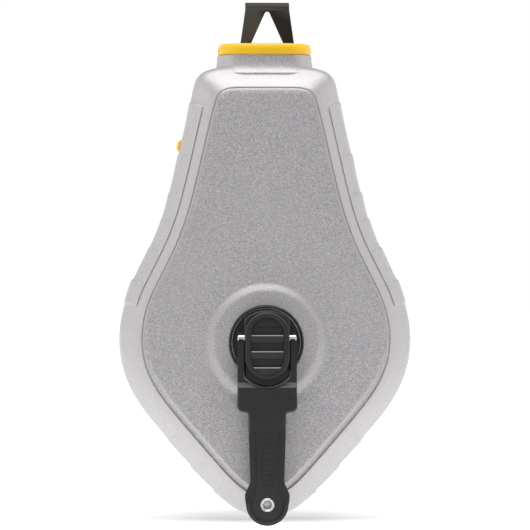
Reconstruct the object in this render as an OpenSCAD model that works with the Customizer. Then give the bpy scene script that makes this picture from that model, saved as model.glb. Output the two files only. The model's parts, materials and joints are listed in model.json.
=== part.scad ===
// Chalk line reel: die-cast teardrop case, planetary 4:1 rewind, folding crank.
// Frame: +Z up along the case, -Y out of the front face, the reel's axis on Y.
// Origin: where the reel's axis meets the flat back face. Millimetres.

/* [Case] */
// Case thickness, back face to front panel
case_t = 39.4; // [39.4:0.2:41]
// Wall thickness of the castings
wall = 2.4; // [2:0.1:2.6]
// Width of the neck under the nozzle
neck_w = 34; // [33:0.5:35]
// Depth of the neck, front to back
neck_d = 26; // [25:0.5:27]
// Height of the neck's top edge above the reel axis
neck_top = 103.7; // [103:0.1:104.5]

/* [Nozzle and hook] */
// Height of the nozzle's yellow collar
collar_h = 4.1; // [3.5:0.1:5]
// Thickness of the hook's sheet steel
hook_t = 1.5; // [1.2:0.1:1.6]
// Top of the hook above the reel axis
hook_top = 123.4; // [121:0.2:125]
// Sideways play taken up by the parked hook
hook_x = 1.1; // [0:0.1:1.1]

/* [Rewind gears] */
// Gear module
gm = 0.9; // [0.9:0.01:0.92]
// Teeth on the sun and on each planet
zs = 15; // [15:15:15]
// Teeth in the ring gear
zr = 45; // [45:45:45]
// Backlash left in each tooth, at the pitch circle
backlash = 0.14; // [0.1:0.01:0.18]

/* [Spool] */
// Radius of the spool's flanges
flange_r = 36; // [34:0.5:37]
// Radius of the wound line, 30 m of 1.2 mm braid
wound_r = 26; // [20:0.5:28]
// Diameter of the chalk line
line_d = 1.2; // [1:0.1:1.4]

/* [Crank] */
// Distance from the fold pin to the knob's axis
crank_r = 59; // [56:0.1:59.4]
// Radius of the knob
knob_r = 7; // [6.5:0.1:7.2]
// Radius of the round end of the arm
arm_end_r = 7.5; // [7.3:0.1:7.7]

/* [Hidden] */

yp = -20;                 // parting plane of the two castings
yf = -case_t;             // front panel
y_rim = yf + 0.6;         // rim around the front panel
y_ring = yf - 1.6;        // raised ring around the crank hub
pin_y = -47.5;            // fold pin of the crank
pin_z = 1.8;
knob_z = pin_z - crank_r;
orbit = gm * zs;          // planet centres
planet_at = [90, 210, 330];
silver = [0.68, 0.68, 0.69];
black = [0.11, 0.11, 0.12];
steel = [0.72, 0.72, 0.74];
yellow = [0.95, 0.72, 0.05];

// Half outline of the case, top centre to bottom centre, [x, z]
half = [[0, 99.6], [10, 99.5], [17.4, 99], [22.4, 97.4], [25, 94.6], [26.1, 90.5], [27.3, 84], [28.8, 77],
    [30.4, 70], [32.9, 59.5], [35.7, 48.5], [39.3, 38.5], [44.4, 28.3], [48.8, 19.3], [51.6, 10.5],
    [52.7, 2], [52.1, -6.5], [49.5, -14.9], [44.5, -23.7], [37.6, -32.1], [30.3, -40.7], [22.7, -49.3],
    [15.7, -56.2], [8.5, -61.5], [0, -63.6]];
// Half outline of the front panel's foot, 8.7 inside, point for point
half_in = [[0, 91], [7, 91], [12, 90.9], [15.3, 89.9], [17.2, 87.6], [18, 84.9], [19.2, 80.6], [20.6, 75],
    [22.2, 68], [24.7, 57.2], [27.7, 46], [31.6, 35.4], [36.8, 24.6], [40.9, 16.4], [43.2, 9],
    [44, 2], [43.5, -4.7], [41.5, -11.4], [37.2, -19], [30.9, -27], [23.8, -35.3], [16.6, -43.6],
    [10.7, -49.9], [5.4, -53.7], [0, -54.9]];

screws = [[40.6, 6], [-40.6, 6], [0, -49.5], [15, 83.5], [-15, 83.5]];

// ---- geometry helpers ----
function mirrored(h) = concat(h, [for (i = [len(h) - 2 : -1 : 1]) [-h[i][0], h[i][1]]]);
function cr(a, b, c, d, t) = 0.5 * ((2 * b) + (c - a) * t + (2 * a - 5 * b + 4 * c - d) * t * t
    + (3 * b - a - 3 * c + d) * t * t * t);
function smooth(p, k) = let (n = len(p)) [for (i = [0 : n - 1], j = [0 : k - 1])
    cr(p[(i + n - 1) % n], p[i], p[(i + 1) % n], p[(i + 2) % n], j / k)];
function outline(d, k) = smooth(mirrored([for (i = [0 : len(half) - 1]) half[i] + (half_in[i] - half[i]) * d / 8.7]), k);
function rrect(w, d, r, n = 8) = [for (q = [0 : 3], i = [0 : n])
    let (a = q * 90 + i * 90 / n, sx = (q == 0 || q == 3) ? 1 : -1, sy = q < 2 ? 1 : -1)
    [sx * (w / 2 - r) + r * cos(a), sy * (d / 2 - r) + r * sin(a)]];

// Skin through outlines given as [y, inset], listed from back to front
module skin(rings, k) {
    o = [for (r = rings) outline(r[1], k)];
    n = len(o[0]);
    m = len(rings);
    polyhedron(
        points = [for (i = [0 : m - 1], p = o[i]) [p[0], rings[i][0], p[1]]],
        faces = concat(
            [[for (j = [n - 1 : -1 : 0]) j]],
            [for (i = [0 : m - 2], j = [0 : n - 1]) [i * n + j, i * n + (j + 1) % n, (i + 1) * n + (j + 1) % n]],
            [for (i = [0 : m - 2], j = [0 : n - 1]) [i * n + j, (i + 1) * n + (j + 1) % n, (i + 1) * n + j]],
            [[for (j = [0 : n - 1]) (m - 1) * n + j]]),
        convexity = 6);
}
// Prism along Y of a shape drawn as (x, z), from y0 to y1 with y1 further forward
module prism_y(y0, y1) translate([0, y0, 0]) rotate([90, 0, 0]) linear_extrude(y0 - y1) children();
module cyl_y(r, y0, y1, x = 0, z = 0, fn = 64) translate([x, y0, z]) rotate([90, 0, 0]) cylinder(r = r, h = y0 - y1, $fn = fn);
module cone_y(r0, r1, y0, y1, x = 0, z = 0) translate([x, y0, z]) rotate([90, 0, 0]) cylinder(r1 = r0, r2 = r1, h = y0 - y1, $fn = 96);
module cyl_x(r, x0, x1, y, z, fn = 48) translate([x0, y, z]) rotate([0, 90, 0]) cylinder(r = r, h = x1 - x0, $fn = fn);
module box(a, b) translate(a) cube(b - a);
module on_side() translate([-30.5, yp, 70]) rotate([0, 13.5, 0]) children();

// ---- involute gears ----
function inv_ang(rb, r) = let (c = rb / max(r, rb), a = acos(c)) tan(a) * 180 / PI - a;
// one flank of the tooth centred on angle 0: [radius, half angle]
function flank(z, m, ra, rf, thin, n = 5) = let (rp = m * z / 2, rb = rp * cos(25),
    h = 90 / z - thin / 2 / rp * 180 / PI + inv_ang(rb, rp), r0 = max(rb, rf))
    concat(rf < rb ? [[rf, h]] : [], [for (i = [0 : n]) let (r = r0 + (ra - r0) * i / n) [r, h - inv_ang(rb, r)]]);
function gear_pts(z, m, ra, rf, thin) = let (f = flank(z, m, ra, rf, thin), n = len(f)) [for (t = [0 : z - 1])
    each concat([for (i = [0 : n - 1]) f[i][0] * [cos(t * 360 / z - f[i][1]), sin(t * 360 / z - f[i][1])]],
        [for (i = [n - 1 : -1 : 0]) f[i][0] * [cos(t * 360 / z + f[i][1]), sin(t * 360 / z + f[i][1])]])];
module spur(z, y0, y1, phase, bore, x = 0, zz = 0) difference() {
    translate([x, 0, zz]) prism_y(y0, y1) rotate(phase)
        polygon(gear_pts(z, gm, gm * (z / 2 + 0.9), gm * (z / 2 - 1.25), backlash));
    cyl_y(bore, y0 + 1, y1 - 1, x, zz, 48);
}

// ---- castings ----
module boss(p, y0, y1) cyl_y(3.5, y0, y1, p[0], p[1], 40);
module neck_block(ya, yb) intersection() {
    translate([0, yp, 90]) linear_extrude(neck_top - 90) polygon(rrect(neck_w, neck_d, 10));
    box([-30, ya, 80], [30, yb, 120]);
}
module neck_bore() translate([0, yp, 86]) linear_extrude(30) polygon(rrect(27, 19, 7));
module door_port() on_side() box([-6, -8, -20], [5, 8, 4.5]);
module gasket_ring(g) difference() {
    prism_y(yp + 0.4 + g, yp - 0.4 - g) difference() { polygon(outline(0.7 - g, 2)); polygon(outline(1.9 + g, 2)); }
    box([-17.5, yp - 3, 80], [17.5, yp + 3, 120]);
    on_side() box([-8, -3, -22], [8, 3, 6.5]);
}
module front_case() color(silver) difference() {
    union() {
        difference() {
            union() {
                skin([[yp, 0], [yp - 8, 0.1], [yp - 11.4, 0.7], [yp - 13.2, 2.2], [y_rim, 8]], 2);
                prism_y(y_rim + 0.6, yf) polygon(outline(8.7, 2));
                cone_y(21.2, 18, yf + 0.2, y_ring);
            }
            skin([[yp + 1, wall], [yp - 8, wall + 0.1], [yp - 11.4, wall + 0.6], [yf + wall, 10.1]], 1);
            cyl_y(19, yf + wall + 1, y_ring + 2.1);
        }
        for (p = screws) boss(p, yp, yf + 1.8);
        difference() {
            neck_block(-60, yp);
            translate([0, 0, -0.01]) box([-11.5, -35, 80], [11.5, yp + 1, 96]);
        }
    }
    cyl_y(13, -30, -50);
    for (p = screws) cyl_y(1.5, yp + 1, yp - 12, p[0], p[1], 32);
    neck_bore();
    door_port();
    gasket_ring(0);
}
module rear_case() color(silver) difference() {
    union() {
        difference() {
            skin([[0, 9], [-1, 8.7], [-1.3, 7.5], [-3.7, 3.3], [-7, 1.2], [-11, 0.3], [yp, 0]], 2);
            skin([[-wall, 9.4], [-5, wall + 2.2], [-9, wall + 0.2], [yp - 1, wall]], 1);
        }
        for (p = screws) boss(p, -1.6, yp);
        cyl_y(6.5, -1, -2.9);
        difference() {
            neck_block(yp, 20);
            box([-11.5, yp - 1, 80], [11.5, -5, 96]);
        }
    }
    cyl_y(2.5, -0.9, -10);
    for (p = screws) { cyl_y(1.7, 1, yp - 1, p[0], p[1], 32); cyl_y(3.1, 1, -2.2, p[0], p[1], 40); }
    neck_bore();
    door_port();
    gasket_ring(0);
}
module case_gasket() color([0.15, 0.15, 0.16]) gasket_ring(0);
module case_screws() color(steel) for (p = screws) difference() {
    union() {
        cyl_y(1.5, -0.4, yp - 10, p[0], p[1], 32);
        cyl_y(2.9, -0.4, -2.2, p[0], p[1], 40);
    }
    translate([p[0], -0.4, p[1]]) for (a = [0, 90]) rotate([0, a, 0]) box([-0.45, -1.1, -1.9], [0.45, 1, 1.9]);
}

// ---- nozzle, hook and line ----
module line_nozzle() color(yellow) difference() {
    union() {
        translate([0, yp, neck_top]) {
            linear_extrude(collar_h - 0.8) polygon(rrect(33, 27, 10.5));
            linear_extrude(collar_h) polygon(rrect(31.2, 25.2, 9.6));
        }
        translate([0, yp, 91]) linear_extrude(neck_top - 90.9) polygon(rrect(26.7, 18.7, 6.9));
    }
    box([-11.6, yp - 1.3, 97.6], [11.6, yp + 1.3, 120]);
    box([-7, yp - 6, 90], [7, yp + 6, 95]);
    translate([0, yp, 90]) cylinder(r = 1.4, h = 12, $fn = 32);
    translate([0, yp, 97.6]) cylinder(r = 2.8, h = 20, $fn = 48);
}
module nozzle_wiper() color([0.55, 0.52, 0.48]) difference() {
    box([-7, yp - 6, 91.2], [7, yp + 6, 95]);
    translate([0, yp, 90]) cylinder(r = 0.95, h = 12, $fn = 32);
}
module line_hook() color(black) translate([hook_x, 0, 0]) {
    difference() {
        prism_y(yp + hook_t / 2, yp - hook_t / 2) difference() {
            polygon([[-9.9, 100.4], [9.9, 100.4], [9.9, 107.6], [8, hook_top - 2.5], [-8, hook_top - 2.5], [-9.9, 107.6]]);
            polygon([[-6.1, 107.9], [6.1, 107.9], [6.3, 106.4], [5.4, 105.4], [-5.4, 105.4], [-6.3, 106.4]]);
            polygon([[-6.1, 107.8], [6.1, 107.8], [0.9, 119.3], [0.45, 119.8], [-0.45, 119.8], [-0.9, 119.3]]);
            translate([-hook_x, 102.4]) circle(r = 1.1, $fn = 32);
        }
    }
    // rolled bend at the top, then the claw running back
    intersection() {
        translate([0, yp - hook_t / 2 + 2.6, hook_top - 2.6]) rotate([0, 90, 0])
            difference() { cylinder(r = 2.6, h = 16, center = true, $fn = 64); cylinder(r = 2.6 - hook_t, h = 20, center = true, $fn = 64); }
        box([-10, yp - hook_t / 2, hook_top - 2.6], [10, yp - hook_t / 2 + 2.6, hook_top]);
    }
    translate([0, 0, hook_top - hook_t]) linear_extrude(hook_t)
        polygon([[-8, yp - hook_t / 2 + 2.6], [8, yp - hook_t / 2 + 2.6], [7.4, -9.5], [5.6, -8.4], [-5.6, -8.4], [-7.4, -9.5]]);
}
module hook_clip() color(steel) translate([0, yp, 100.4]) rotate([0, 90, 0])
    rotate_extrude($fn = 48) translate([1.9, 0]) circle(r = 0.35, $fn = 24);
module line_leader() color([0.9, 0.9, 0.86]) translate([0, yp, 66.5]) cylinder(r = line_d / 2, h = 31.6, $fn = 24);
module line_guide() color(black) difference() {
    union() { box([-3.2, yp - 4, 61], [3.2, yp + 4, 66]); box([-1.6, yp + 3, 61.5], [1.6, -5, 65.5]); cyl_y(3.4, -2.4, -5.4, 0, 63.5, 40); }
    translate([0, yp, 60]) cylinder(r = 1.0, h = 8, $fn = 32);
}
line_a = [26.8, -16.5, 7];
line_b = [0, yp, 60.6];
module line_run() color([0.9, 0.9, 0.86]) {
    d = line_b - line_a; l = norm(d);
    translate(line_a) rotate([0, acos(d[2] / l), atan2(d[1], d[0])]) cylinder(r = line_d / 2, h = l, $fn = 24);
}

// ---- chalk door ----
module fill_door() color(yellow) on_side() {
    box([2.9, -9.5, -22.5], [4.5, 9.5, 7]);
    difference() {
        box([-1.5, -5, -1.2], [3, 5, 3.2]);
        for (s = [-1, 1]) translate([-1.5, 0, 1 + s * 2.2]) rotate([0, 45, 0]) cube([1.1, 12, 1.1], center = true);
    }
}
module door_guide() color(black) on_side() {
    for (s = [-1, 1]) {
        box([3, s > 0 ? 9.8 : -10.9, -24], [6.3, s > 0 ? 11.3 : -9.8, 9.5]);
        box([4.8, s > 0 ? 8 : -10.9, -42], [6.3, s > 0 ? 11.3 : -8, 9.5]);
    }
    box([4.8, -8.2, 7.6], [6.3, 8.2, 9.5]);
    box([4.8, -8.2, -42], [6.3, 8.2, -40.2]);
}

// ---- rewind ----
module ring_gear() color([0.78, 0.76, 0.7]) difference() {
    union() {
        cyl_y(25, -31, yf + wall, 0, 0, 96);
        for (a = [30, 150, 270]) rotate([0, a, 0]) box([24, yf + wall, -2.5], [28, -34, 2.5]);
    }
    prism_y(-20, -50) rotate(90) polygon(gear_pts(zr, gm, gm * (zr / 2 + 1.25), gm * (zr / 2 - 0.9), -backlash));
}
module planet(i) color([0.85, 0.84, 0.8]) spur(zs, -31.1, -35.9, planet_at[i], 1.56, orbit * cos(planet_at[i]), orbit * sin(planet_at[i]));
module sun_gear() color([0.78, 0.66, 0.4]) difference() {
    union() {
        prism_y(-30, -35.9) rotate(90) polygon(gear_pts(zs, gm, gm * (zs / 2 + 0.9), gm * (zs / 2 - 1.25), backlash));
        cyl_y(4.5, -26, -30.1);
    }
    cyl_y(2.56, -20, -40);
}
module planet_carrier() color([0.3, 0.3, 0.32]) difference() {
    cyl_y(17.6, -36.2, -37.6, 0, 0, 96);
    cyl_y(2.56, -30, -40, 0, 0, 48);
    for (a = planet_at) cyl_y(1.5, -30, -40, orbit * cos(a), orbit * sin(a), 32);
    for (s = [-1, 1]) cyl_y(1.5, -30, -40, 0, s * 8, 32);
}
module planet_pins() color(steel) for (a = planet_at) cyl_y(1.5, -30.7, -37.6, orbit * cos(a), orbit * sin(a), 32);
module chalk_spool() color([0.2, 0.2, 0.22]) difference() {
    union() {
        cyl_y(flange_r, -3.9, -5.4, 0, 0, 128);
        cyl_y(flange_r, -27.9, -29.4, 0, 0, 128);
        cyl_y(9, -3.9, -29.4);
    }
    cyl_y(2.56, -1, -40);
    cyl_y(4.5, -26, -40);
    for (a = [0 : 60 : 300]) cyl_y(5, -1, -5.5, 28 * cos(a), 28 * sin(a), 40);
    cyl_y(1, -10, -12, 0, 8.6, 24);
}
module line_winding() color([0.9, 0.9, 0.86]) difference() { cyl_y(wound_r, -5.45, -27.85, 0, 0, 96); cyl_y(9.05, -1, -40); }
module spool_axle() color(steel) {
    cyl_y(2.5, -0.9, -42.6, 0, 0, 48);
}
module thrust_washer() color([0.78, 0.66, 0.4]) difference() { cyl_y(6, -2.9, -3.6); cyl_y(2.5, -1, -10, 0, 0, 48); }

// ---- crank ----
module hub_bushing() color(black) difference() {
    union() { cyl_y(13, y_ring + 1.95, y_ring - 0.1, 0, 0, 96); cyl_y(13.3, y_ring, y_ring - 1.1, 0, 0, 96); }
    cyl_y(12.5, -30, -50, 0, 0, 96);
}
module boss_shape(w, r, grow = 0) intersection() {
    union() { translate([0, -5]) circle(r = r + grow, $fn = 96); translate([0, 0]) circle(r = 11.7, $fn = 96); }
    translate([-w, -30]) square([2 * w, 60]);
}
module crank_hub() color(black) difference() {
    union() {
        cyl_y(12.1, -37.9, -41.4, 0, 0, 96);
        prism_y(-41.3, -42.5) intersection() { boss_shape(8, 10.4); circle(r = 12.1, $fn = 96); }
        prism_y(-42.4, -49.4) boss_shape(8, 10.4);
    }
    difference() { cyl_y(15, -38.25, -38.75, 0, 0, 96); cyl_y(11.2, -38, -39, 0, 0, 96); }
    cyl_y(2.56, -30, -42.9, 0, 0, 48);
    cyl_x(1.2, -12, 12, pin_y, pin_z);
    for (s = [-1, 1]) cyl_y(1.3, -30, -44, 0, s * 8, 32);
    box([-2.8, -46.3, -9.9], [2.8, -43.1, 9.9]);
    box([-2.3, -50, -12.2], [2.3, -46, -4.9]);
}
module hub_clip() color(steel) difference() {
    cyl_y(14.4, -38.25, -38.75, 0, 0, 96);
    cyl_y(11.2, -38, -39, 0, 0, 96);
    box([-3, -40, -20], [3, -37, -9]);
}
module crank_pivot_pin() color(steel) cyl_x(1.2, -10.5, 10.5, pin_y, pin_z);
module clutch_slide() color(black) {
    difference() {
        prism_y(-49.7, -52.2) { translate([-8.1, -4.9]) square([16.2, 7.7]); translate([0, -4.9]) circle(r = 8.1, $fn = 96); translate([0, 2.8]) circle(r = 8.1, $fn = 96); }
        prism_y(-50.9, -55) { translate([-6.2, -4.9]) square([12.4, 7.7]); translate([0, -4.9]) circle(r = 6.2, $fn = 96); translate([0, 2.8]) circle(r = 6.2, $fn = 96); }
    }
    for (z = [2.9, -2.9, -8.7]) box([-6 + (z < -8 ? 1.4 : 0), -51.9, z - 2], [6 - (z < -8 ? 1.4 : 0), -50.8, z]);
    box([-2, -49.8, -8], [2, -46.7, -5.2]);
}
module clutch_dog() color(steel) {
    box([-2.5, -44.9, -9.5], [2.5, -43.4, 9.5]);
    for (s = [-1, 1]) cyl_y(1.2, -36.7, -43.5, 0, s * 8, 32);
}
module arm_shape() {
    difference() {
        union() {
            polygon([[-10.5, pin_z], [10.5, pin_z], [10.5, -15], [10.7, -21.4], [10.3, -22.8], [9.3, -23.7], [7.4, -24.4],
                [6.8, -25.3], [6.5, -33], [6, -49.2], [7.8, -53], [8, -54.6], [7, -58.9],
                [-7, -58.9], [-8, -54.6], [-7.8, -53], [-6, -49.2], [-6.5, -33], [-6.8, -25.3],
                [-7.4, -24.4], [-9.3, -23.7], [-10.3, -22.8], [-10.7, -21.4], [-10.5, -15]]);
            translate([0, knob_z]) circle(r = arm_end_r, $fn = 96);
        }
        intersection() {
            union() { translate([0, -5.3]) circle(r = 11, $fn = 96); translate([-12, -8]) square([24, 20]); }
            translate([-8.4, -30]) square([16.8, 60]);
        }
    }
}
module crank_arm() color(black) difference() {
    union() {
        difference() {
            prism_y(-46, -52.2) arm_shape();
            box([-20, -49.3, knob_z - 20], [20, -40, knob_z + 8.5]);
            box([-20, -53, -14.2], [20, -50.6, 3]);
            // lightening pocket on the back, between the side walls
            box([-4.4, -49.4, -46], [4.4, -40, -21]);
        }
        for (s = [-1, 1]) cyl_x(2.3, s > 0 ? 8.4 : -10.5, s > 0 ? 10.5 : -8.4, pin_y, pin_z);
    }
    for (s = [-1, 1]) {
        cyl_x(1.3, s > 0 ? 8 : -11, s > 0 ? 11 : -8, pin_y, pin_z);
        box([s > 0 ? 8 : -11, -53, pin_z - 0.95], [s > 0 ? 11 : -8, pin_y, pin_z + 0.95]);
    }
    // channel and bowl on the front face
    prism_y(-51.2, -55) polygon([[-5.4, -30.6], [5.4, -30.6], [4.3, -33.2], [4, -50.2], [-4, -50.2], [-4.3, -33.2]]);
    cyl_y(5.5, -51.2, -55, 0, knob_z, 64);
    cyl_y(1.5, -40, -55, 0, knob_z, 48);
}
module knob_rivet() color(steel) difference() {
    union() { cyl_y(1.5, -40.9, -51.3, 0, knob_z, 48); cyl_y(2.45, -51.2, -52, 0, knob_z, 48); cyl_y(2.6, -41.3, -42.1, 0, knob_z, 48); }
    cyl_y(0.8, -30, -60, 0, knob_z, 32);
}
module crank_knob() color(black) difference() {
    union() {
        cyl_y(knob_r, -41.4, -49, 0, knob_z, 96);
        cyl_y(knob_r - 1, -40.4, -41.5, 0, knob_z, 96);
    }
    cyl_y(1.56, -30, -60, 0, knob_z, 48);
    cyl_y(2.9, -30, -42.4, 0, knob_z, 48);
}

front_case();
rear_case();
case_gasket();
case_screws();
line_nozzle();
nozzle_wiper();
line_hook();
hook_clip();
line_leader();
line_guide();
line_run();
fill_door();
door_guide();
hub_bushing();
crank_hub();
hub_clip();
crank_pivot_pin();
clutch_slide();
clutch_dog();
crank_arm();
knob_rivet();
crank_knob();
ring_gear();
planet_carrier();
planet_pins();
planet(0);  // planet_gear_a
planet(1);  // planet_gear_b
planet(2);  // planet_gear_c
sun_gear();
chalk_spool();
line_winding();
spool_axle();
thrust_washer();
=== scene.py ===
import json
import math

import bmesh
import bpy
import numpy as np
from mathutils import Matrix, Vector


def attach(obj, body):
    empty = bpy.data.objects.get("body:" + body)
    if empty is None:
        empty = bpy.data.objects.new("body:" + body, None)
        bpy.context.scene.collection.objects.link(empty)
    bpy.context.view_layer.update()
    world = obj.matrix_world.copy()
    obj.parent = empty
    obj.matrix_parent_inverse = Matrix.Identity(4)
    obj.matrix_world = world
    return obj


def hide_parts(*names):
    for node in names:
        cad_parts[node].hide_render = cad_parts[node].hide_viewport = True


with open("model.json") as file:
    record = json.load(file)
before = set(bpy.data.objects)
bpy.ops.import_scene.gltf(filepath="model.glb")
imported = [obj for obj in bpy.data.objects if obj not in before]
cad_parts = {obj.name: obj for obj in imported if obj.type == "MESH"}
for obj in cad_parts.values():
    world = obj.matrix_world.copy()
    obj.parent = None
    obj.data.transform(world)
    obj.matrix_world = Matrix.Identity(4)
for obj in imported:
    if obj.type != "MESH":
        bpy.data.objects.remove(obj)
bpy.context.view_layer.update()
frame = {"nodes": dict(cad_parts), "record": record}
MM = 0.001
YP = -20.0  # parting plane
YF = -39.4  # front panel
YRIM = -38.8
YRING = -41.0
PIN_Y, PIN_Z = -47.5, 1.8
KNOB_Z = -57.2

# ------------------------------------------------------------------ outline
HALF = [(0, 99.6), (10, 99.5), (17.4, 99), (22.4, 97.4), (25, 94.6), (26.1, 90.5), (27.3, 84), (28.8, 77),
        (30.4, 70), (32.9, 59.5), (35.7, 48.5), (39.3, 38.5), (44.4, 28.3), (48.8, 19.3), (51.6, 10.5),
        (52.7, 2), (52.1, -6.5), (49.5, -14.9), (44.5, -23.7), (37.6, -32.1), (30.3, -40.7), (22.7, -49.3),
        (15.7, -56.2), (8.5, -61.5), (0, -63.6)]
HALF_IN = [(0, 91), (7, 91), (12, 90.9), (15.3, 89.9), (17.2, 87.6), (18, 84.9), (19.2, 80.6), (20.6, 75),
           (22.2, 68), (24.7, 57.2), (27.7, 46), (31.6, 35.4), (36.8, 24.6), (40.9, 16.4), (43.2, 9),
           (44, 2), (43.5, -4.7), (41.5, -11.4), (37.2, -19), (30.9, -27), (23.8, -35.3), (16.6, -43.6),
           (10.7, -49.9), (5.4, -53.7), (0, -54.9)]


def closed(half):
    h = np.array(half, float)
    m = h[1:-1][::-1] * [-1, 1]
    return np.vstack([h, m])


def catmull(p, k):
    n = len(p)
    t = np.arange(k) / k
    out = []
    for i in range(n):
        a, b, c, d = p[i - 1], p[i], p[(i + 1) % n], p[(i + 2) % n]
        for u in t:
            out.append(0.5 * (2 * b + (c - a) * u + (2 * a - 5 * b + 4 * c - d) * u * u
                              + (3 * b - a - 3 * c + d) * u ** 3))
    return np.array(out)


def blur(p, sigma):
    """Circular gaussian blur of samples, sigma in samples."""
    r = int(3 * sigma)
    w = np.exp(-0.5 * (np.arange(-r, r + 1) / sigma) ** 2)
    w /= w.sum()
    return sum(wi * np.roll(p, j, axis=0) for wi, j in zip(w, range(-r, r + 1)))


K = 24
OUT = blur(catmull(closed(HALF), K), 7)
INN = blur(catmull(closed(HALF_IN), K), 6)
N = len(OUT)


def outline(d):
    return OUT + (INN - OUT) * (d / 8.7)


# ------------------------------------------------------------------ helpers
def link(obj, body=None, repl=()):
    if obj.name not in bpy.context.scene.collection.all_objects:
        bpy.context.scene.collection.objects.link(obj)
    if body:
        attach(obj, body)
    if repl:
        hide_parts(*repl)
    return obj


def mesh_obj(name, verts, faces):
    me = bpy.data.meshes.new(name)
    me.from_pydata([tuple(float(c) * MM for c in v) for v in verts], [], [tuple(f) for f in faces])
    me.validate()
    o = bpy.data.objects.new(name, me)
    bpy.context.scene.collection.objects.link(o)
    bm = bmesh.new()
    bm.from_mesh(me)
    bmesh.ops.recalc_face_normals(bm, faces=bm.faces)
    bm.to_mesh(me)
    bm.free()
    return o


def loft(name, rings, cap0=True, cap1=True):
    """Rings are lists of (x, y, z), all with the same count."""
    n = len(rings[0])
    v = [p for r in rings for p in r]
    f = []
    for i in range(len(rings) - 1):
        for j in range(n):
            a, b = i * n + j, i * n + (j + 1) % n
            f.append((a, b, b + n, a + n))
    if cap0:
        f.append(list(range(n))[::-1])
    if cap1:
        f.append([(len(rings) - 1) * n + j for j in range(n)])
    return mesh_obj(name, v, f)


def prism(name, pts, y0, y1, bevel=0.0, segs=3, rings=None):
    """A prism along Y of an outline of (x, z) points, with square rims; given rings are lofted instead."""
    p = np.array(pts, float)
    if rings is None:
        return loft(name, [[(a, y0, b) for a, b in p], [(a, y1, b) for a, b in p]])
    return loft(name, rings)


def apply_mods(o):
    bpy.context.view_layer.update()
    dg = bpy.context.evaluated_depsgraph_get()
    me = bpy.data.meshes.new_from_object(o.evaluated_get(dg))
    old = o.data
    o.modifiers.clear()
    o.data = me
    if old.users == 0:
        bpy.data.meshes.remove(old)
    return o


def boolean(o, cutter, op="DIFFERENCE", keep=False):
    m = o.modifiers.new("cut", "BOOLEAN")
    m.operation = op
    m.solver = "EXACT"
    m.object = cutter
    apply_mods(o)
    if not keep:
        bpy.data.objects.remove(cutter, do_unlink=True)
    return o


def bevel(o, w, segs=3, angle=32, profile=0.5):
    m = o.modifiers.new("bevel", "BEVEL")
    m.width = w * MM
    m.segments = segs
    m.limit_method = "ANGLE"
    m.angle_limit = math.radians(angle)
    m.profile = profile
    m.use_clamp_overlap = True
    m.miter_outer = "MITER_ARC"
    m.harden_normals = False
    return o


def clean(o, dist=0.002):
    bm = bmesh.new()
    bm.from_mesh(o.data)
    bmesh.ops.remove_doubles(bm, verts=bm.verts, dist=dist * MM)
    bmesh.ops.dissolve_degenerate(bm, edges=bm.edges, dist=dist * MM)
    bmesh.ops.recalc_face_normals(bm, faces=bm.faces)
    bm.to_mesh(o.data)
    bm.free()
    return o


def limited(o, angle=0.5):
    bm = bmesh.new()
    bm.from_mesh(o.data)
    bmesh.ops.dissolve_limit(bm, angle_limit=math.radians(angle), verts=bm.verts, edges=bm.edges)
    bm.to_mesh(o.data)
    bm.free()
    return o


def smooth(o, angle=35):
    for p in o.data.polygons:
        p.use_smooth = True
    bm = bmesh.new()
    bm.from_mesh(o.data)
    for e in bm.edges:
        e.smooth = not (len(e.link_faces) == 2 and e.calc_face_angle(0) > math.radians(angle))
    bm.to_mesh(o.data)
    bm.free()
    w = o.modifiers.new("wn", "WEIGHTED_NORMAL")
    w.keep_sharp = True
    return o


def box(name, a, b):
    v = [(x, y, z) for x in (a[0], b[0]) for y in (a[1], b[1]) for z in (a[2], b[2])]
    f = [(0, 1, 3, 2), (4, 6, 7, 5), (0, 4, 5, 1), (2, 3, 7, 6), (0, 2, 6, 4), (1, 5, 7, 3)]
    return mesh_obj(name, v, f)


def lathe(name, prof, x=0.0, z=0.0, n=96, axis="Y", at=(0, 0, 0), closed_prof=False):
    """prof is (radius, position along the axis), from one end to the other. Radius 0 closes an end."""
    v, f, ring = [], [], []
    for r, y in prof:
        if r < 1e-6:
            ring.append([len(v)])
            v.append((0, y, 0))
        else:
            ring.append(list(range(len(v), len(v) + n)))
            v += [(r * math.cos(2 * math.pi * i / n), y, r * math.sin(2 * math.pi * i / n)) for i in range(n)]
    pairs = list(zip(ring, ring[1:] + ring[:1])) if closed_prof else list(zip(ring[:-1], ring[1:]))
    for a, b in pairs:
        for i in range(n):
            j = (i + 1) % n
            if len(a) == 1 and len(b) == 1:
                continue
            if len(a) == 1:
                f.append((a[0], b[i], b[j]))
            elif len(b) == 1:
                f.append((a[i], b[0], a[j]))
            else:
                f.append((a[i], b[i], b[j], a[j]))
    if axis == "X":
        v = [(q[1], q[2], q[0]) for q in v]
    elif axis == "Z":
        v = [(q[2], q[0], q[1]) for q in v]
    v = [(q[0] + x + at[0], q[1] + at[1], q[2] + z + at[2]) for q in v]
    return mesh_obj(name, v, f)


def round_rect(w, d, r, n=12):
    out = []
    for q in range(4):
        sx = 1 if q in (0, 3) else -1
        sy = 1 if q < 2 else -1
        for i in range(n + 1):
            a = math.radians(q * 90 + i * 90 / n)
            out.append((sx * (w / 2 - r) + r * math.cos(a), sy * (d / 2 - r) + r * math.sin(a)))
    return out


def join(a, *others):
    bm = bmesh.new()
    bm.from_mesh(a.data)
    for o in others:
        bm.from_mesh(o.data)
        bpy.data.objects.remove(o, do_unlink=True)
    bm.to_mesh(a.data)
    bm.free()
    return a


def assign(o, mat):
    o.data.materials.clear()
    o.data.materials.append(mat)
    return o


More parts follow.
